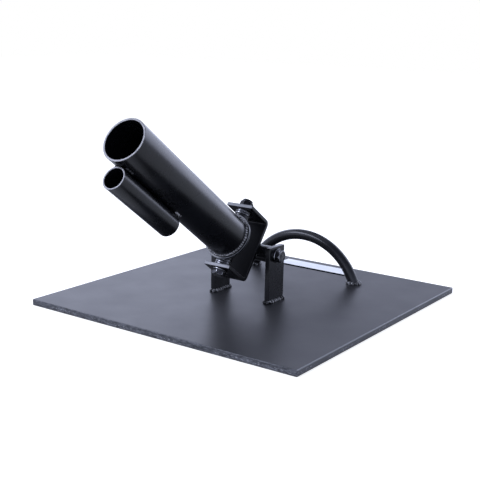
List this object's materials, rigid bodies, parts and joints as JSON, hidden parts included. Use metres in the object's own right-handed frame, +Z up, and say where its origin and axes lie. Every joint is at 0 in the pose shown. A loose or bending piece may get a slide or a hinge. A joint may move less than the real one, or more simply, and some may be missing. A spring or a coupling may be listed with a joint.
{
  "type": "barbell pivot base plate",
  "caption": "Flat square steel base with uprights that hold a tilting yoke and swivelling bar tubes, to anchor the end of a barbell for lever lifts.",
  "frame": {"origin": "centre of the base plate's underside", "axes": "+Z up, +X along the pivot bolt towards its head, +Y towards the carry handle, so the tubes point to -Y and upwards"},
  "size_m": [0.45, 0.5347, 0.2892],
  "materials": {
    "satin_black_coat": "satin black powder coat",
    "coated_weld": "rippled weld bead under the same coat",
    "black_steel": "black oxide",
    "grey_steel": "dark grey zinc"
  },
  "bodies": {
    "base": {"base_plate": "satin_black_coat", "upright_right": "satin_black_coat", "upright_left": "satin_black_coat", "upright_weld_right": "coated_weld", "upright_weld_left": "coated_weld", "carry_handle": "satin_black_coat", "handle_weld_right": "coated_weld", "handle_weld_left": "coated_weld", "pivot_bolt": "black_steel", "pivot_lock_nut": "grey_steel", "pivot_washer_right": "black_steel", "pivot_washer_left": "black_steel", "thrust_washer_right": "black_steel", "thrust_washer_left": "black_steel"},
    "yoke": {"yoke_bracket": "satin_black_coat", "pivot_barrel": "satin_black_coat", "pivot_barrel_weld_upper": "coated_weld", "pivot_barrel_weld_lower": "coated_weld", "swivel_bolt": "black_steel", "swivel_lock_nut": "grey_steel", "swivel_washer_upper": "black_steel", "swivel_washer_lower": "black_steel"},
    "socket": {"large_bar_tube": "satin_black_coat", "small_bar_tube": "satin_black_coat", "tube_end_plate": "satin_black_coat", "end_plate_weld": "coated_weld", "swivel_barrel": "satin_black_coat", "swivel_barrel_weld_right": "coated_weld", "swivel_barrel_weld_left": "coated_weld", "small_tube_weld_right": "coated_weld", "small_tube_weld_left": "coated_weld", "lower_shim_1": "black_steel", "lower_shim_2": "black_steel", "lower_shim_3": "black_steel", "upper_shim_1": "black_steel", "upper_shim_2": "black_steel"}
  },
  "joints": [
    {"name": "yoke_tilt", "type": "hinge", "parent": "base", "child": "yoke", "pos_m": [0, -0.01, 0.077], "axis": [-1, 0, 0], "range_deg": [-34, 120]},
    {"name": "socket_swivel", "type": "hinge", "parent": "yoke", "child": "socket", "pos_m": [0.005, -0.05574, 0.10047], "axis": [0, 0.5878, 0.809], "range_deg": [-60, 60]}
  ]
}
